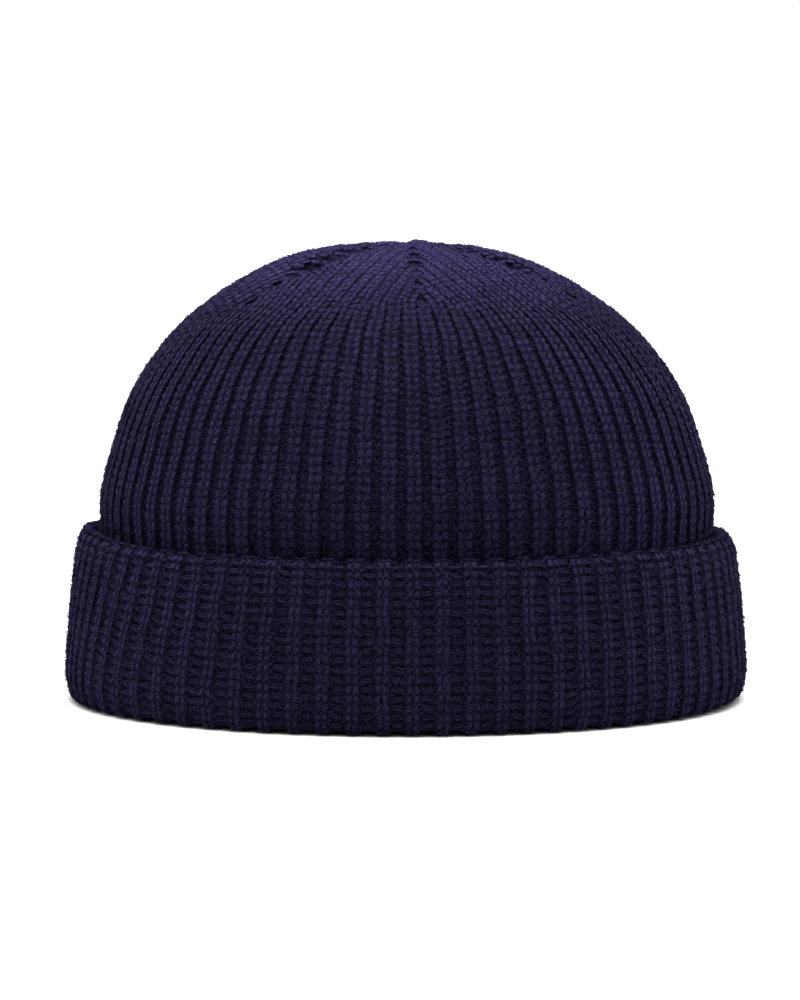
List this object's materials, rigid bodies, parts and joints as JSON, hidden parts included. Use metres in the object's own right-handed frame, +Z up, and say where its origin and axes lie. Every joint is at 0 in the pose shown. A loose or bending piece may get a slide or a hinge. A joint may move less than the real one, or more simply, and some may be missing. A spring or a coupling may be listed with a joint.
{
  "type": "ribbed beanie",
  "caption": "Snug ribbed knit cap: domed crown drawn in by darts, with a thick turned-up cuff round an open head hollow.",
  "frame": {"origin": "centre of the rim where the cap rests, on the surface it stands on", "axes": "+Z up through the crown, -Y the front, +X the wearer's left"},
  "size_m": [0.2, 0.2, 0.1345],
  "materials": {
    "crown_knit": "soft matt wool-like rib knit, navy",
    "cuff_knit": "soft matt wool-like rib knit, navy"
  },
  "bodies": {
    "root": {"crown": "crown_knit", "cuff": "cuff_knit"}
  },
  "joints": []
}
